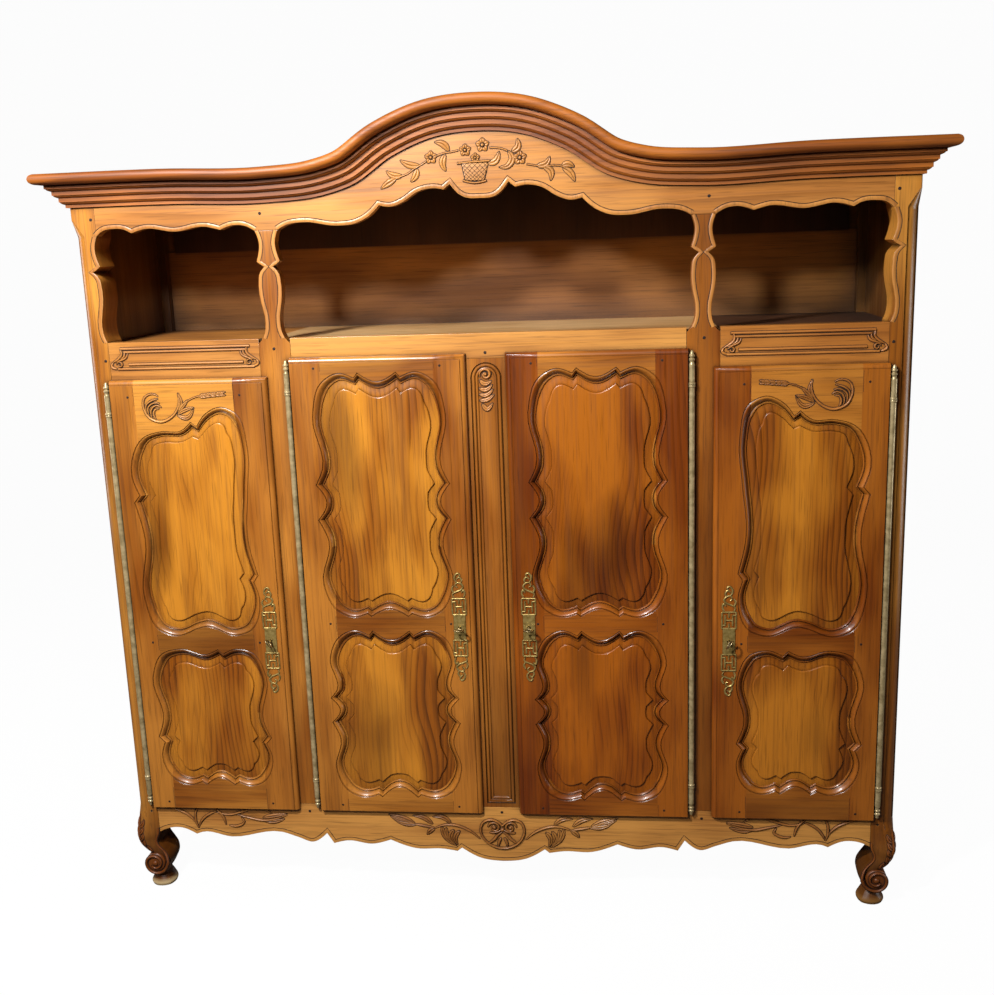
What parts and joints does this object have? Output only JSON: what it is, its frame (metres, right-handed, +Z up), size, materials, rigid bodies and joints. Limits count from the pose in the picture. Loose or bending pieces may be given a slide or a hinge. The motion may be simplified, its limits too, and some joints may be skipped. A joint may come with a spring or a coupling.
{
  "type": "buffet hutch",
  "caption": "Wide country buffet with lipped, shaped-panel cupboard doors below, open niches above, an arched moulded cornice, a scalloped apron and carved front feet.",
  "frame": {"origin": "on the floor, under the middle of the overall box", "axes": "+X to the right seen from the front, +Y from the front to the back, +Z up"},
  "size_m": [2.14, 0.567, 2.03],
  "materials": {
    "waxed_walnut": "waxed, satin sheen",
    "walnut_panel": "waxed, satin sheen",
    "plain_walnut": "dull, unpolished",
    "aged_brass": "aged, soft sheen",
    "blued_iron": "dark, worn"
  },
  "bodies": {
    "case": {"front_post_left": "waxed_walnut", "front_post_right": "waxed_walnut", "inner_stile_left": "waxed_walnut", "inner_stile_right": "waxed_walnut", "centre_stile": "waxed_walnut", "frieze_rail": "waxed_walnut", "cornice_front": "waxed_walnut", "cornice_return_left": "waxed_walnut", "cornice_return_right": "waxed_walnut", "carved_rail_left": "waxed_walnut", "carved_rail_right": "waxed_walnut", "middle_rail": "waxed_walnut", "apron_rail": "waxed_walnut", "side_frame_left": "waxed_walnut", "side_frame_right": "waxed_walnut", "back_post_left": "waxed_walnut", "back_post_right": "waxed_walnut", "back_panel": "plain_walnut", "bottom_board": "plain_walnut", "niche_board": "plain_walnut", "top_board": "plain_walnut", "cupboard_shelf": "plain_walnut", "hinge_pin_outer_left": "aged_brass", "hinge_pin_inner_left": "aged_brass", "hinge_pin_inner_right": "aged_brass", "hinge_pin_outer_right": "aged_brass"},
    "door_outer_left": {"door_frame_outer_left": "waxed_walnut", "upper_panel_outer_left": "walnut_panel", "lower_panel_outer_left": "walnut_panel", "hinge_barrel_outer_left": "aged_brass", "lock_plate_outer_left": "aged_brass", "lock_case_outer_left": "blued_iron"},
    "key_body_outer_left": {"key_outer_left": "blued_iron"},
    "bolt_body_outer_left": {"lock_bolt_outer_left": "blued_iron"},
    "door_inner_left": {"door_frame_inner_left": "waxed_walnut", "upper_panel_inner_left": "walnut_panel", "lower_panel_inner_left": "walnut_panel", "hinge_barrel_inner_left": "aged_brass", "lock_plate_inner_left": "aged_brass", "lock_case_inner_left": "blued_iron"},
    "key_body_inner_left": {"key_inner_left": "blued_iron"},
    "bolt_body_inner_left": {"lock_bolt_inner_left": "blued_iron"},
    "door_inner_right": {"door_frame_inner_right": "waxed_walnut", "upper_panel_inner_right": "walnut_panel", "lower_panel_inner_right": "walnut_panel", "hinge_barrel_inner_right": "aged_brass", "lock_plate_inner_right": "aged_brass", "lock_case_inner_right": "blued_iron"},
    "key_body_inner_right": {"key_inner_right": "blued_iron"},
    "bolt_body_inner_right": {"lock_bolt_inner_right": "blued_iron"},
    "door_outer_right": {"door_frame_outer_right": "waxed_walnut", "upper_panel_outer_right": "walnut_panel", "lower_panel_outer_right": "walnut_panel", "hinge_barrel_outer_right": "aged_brass", "lock_plate_outer_right": "aged_brass", "lock_case_outer_right": "blued_iron"},
    "key_body_outer_right": {"key_outer_right": "blued_iron"},
    "bolt_body_outer_right": {"lock_bolt_outer_right": "blued_iron"}
  },
  "joints": [
    {"name": "door_swing_outer_left", "type": "hinge", "parent": "case", "child": "door_outer_left", "pos_m": [-0.9553, -0.2253, 0.237], "axis": [0, 0, -1], "range_deg": [0, 110]},
    {"name": "key_turn_outer_left", "type": "hinge", "parent": "door_outer_left", "child": "key_body_outer_left", "pos_m": [-0.582, -0.2328, 0.714], "axis": [0, 1, 0], "range_deg": [0, 180]},
    {"name": "bolt_slide_outer_left", "type": "slide", "parent": "door_outer_left", "child": "bolt_body_outer_left", "axis": [1, 0, 0], "range_m": [0, 0.012]},
    {"name": "door_swing_inner_left", "type": "hinge", "parent": "case", "child": "door_inner_left", "pos_m": [-0.4913, -0.2253, 0.237], "axis": [0, 0, -1], "range_deg": [0, 110]},
    {"name": "key_turn_inner_left", "type": "hinge", "parent": "door_inner_left", "child": "key_body_inner_left", "pos_m": [-0.088, -0.2328, 0.75], "axis": [0, 1, 0], "range_deg": [0, 180]},
    {"name": "bolt_slide_inner_left", "type": "slide", "parent": "door_inner_left", "child": "bolt_body_inner_left", "axis": [1, 0, 0], "range_m": [0, 0.012]},
    {"name": "door_swing_inner_right", "type": "hinge", "parent": "case", "child": "door_inner_right", "pos_m": [0.4913, -0.2253, 0.237], "axis": [0, 0, 1], "range_deg": [0, 110]},
    {"name": "key_turn_inner_right", "type": "hinge", "parent": "door_inner_right", "child": "key_body_inner_right", "pos_m": [0.088, -0.2328, 0.75], "axis": [0, 1, 0], "range_deg": [0, 180]},
    {"name": "bolt_slide_inner_right", "type": "slide", "parent": "door_inner_right", "child": "bolt_body_inner_right", "axis": [-1, 0, 0], "range_m": [0, 0.012]},
    {"name": "door_swing_outer_right", "type": "hinge", "parent": "case", "child": "door_outer_right", "pos_m": [0.9553, -0.2253, 0.237], "axis": [0, 0, 1], "range_deg": [0, 110]},
    {"name": "key_turn_outer_right", "type": "hinge", "parent": "door_outer_right", "child": "key_body_outer_right", "pos_m": [0.582, -0.2328, 0.714], "axis": [0, 1, 0], "range_deg": [0, 180]},
    {"name": "bolt_slide_outer_right", "type": "slide", "parent": "door_outer_right", "child": "bolt_body_outer_right", "axis": [-1, 0, 0], "range_m": [0, 0.012]}
  ],
  "couplings": [
    {"joint": "key_turn_outer_left", "follows": "bolt_slide_outer_left", "rad_per_m": 260},
    {"joint": "key_turn_inner_left", "follows": "bolt_slide_inner_left", "rad_per_m": 260},
    {"joint": "key_turn_inner_right", "follows": "bolt_slide_inner_right", "rad_per_m": 260},
    {"joint": "key_turn_outer_right", "follows": "bolt_slide_outer_right", "rad_per_m": 260}
  ]
}
